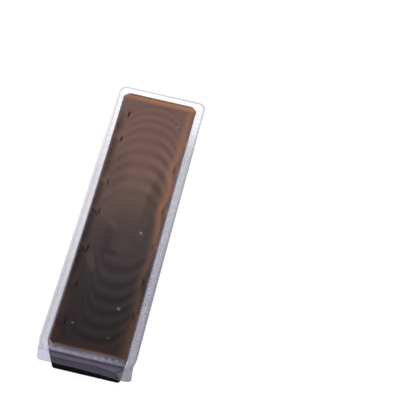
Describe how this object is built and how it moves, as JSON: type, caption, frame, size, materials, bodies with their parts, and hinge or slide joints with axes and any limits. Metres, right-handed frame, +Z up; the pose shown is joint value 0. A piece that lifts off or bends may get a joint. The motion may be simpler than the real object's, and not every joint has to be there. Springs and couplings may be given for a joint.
{
  "type": "yokan bar in clear tray",
  "caption": "Long dark bar of firm bean jelly in a clear tapered tray, under a sealed clear lid film whose pull tab is folded down over one end.",
  "frame": {"origin": "on the ground, under the middle of the tray", "axes": "+Z up, +Y along the bar towards the end without the pull tab, +X to the right seen from the pull tab"},
  "size_m": [0.0588, 0.2112, 0.033],
  "materials": {
    "bean_jelly": "smooth and moist, slightly see-through at thin edges",
    "tray_plastic": "clear formed sheet, slightly milky on the rim",
    "clear_film": "clear lid film with a fine weld pattern on the rim"
  },
  "bodies": {
    "root": {"yokan": "bean_jelly", "tray": "tray_plastic", "lid_film": "clear_film"}
  },
  "joints": []
}
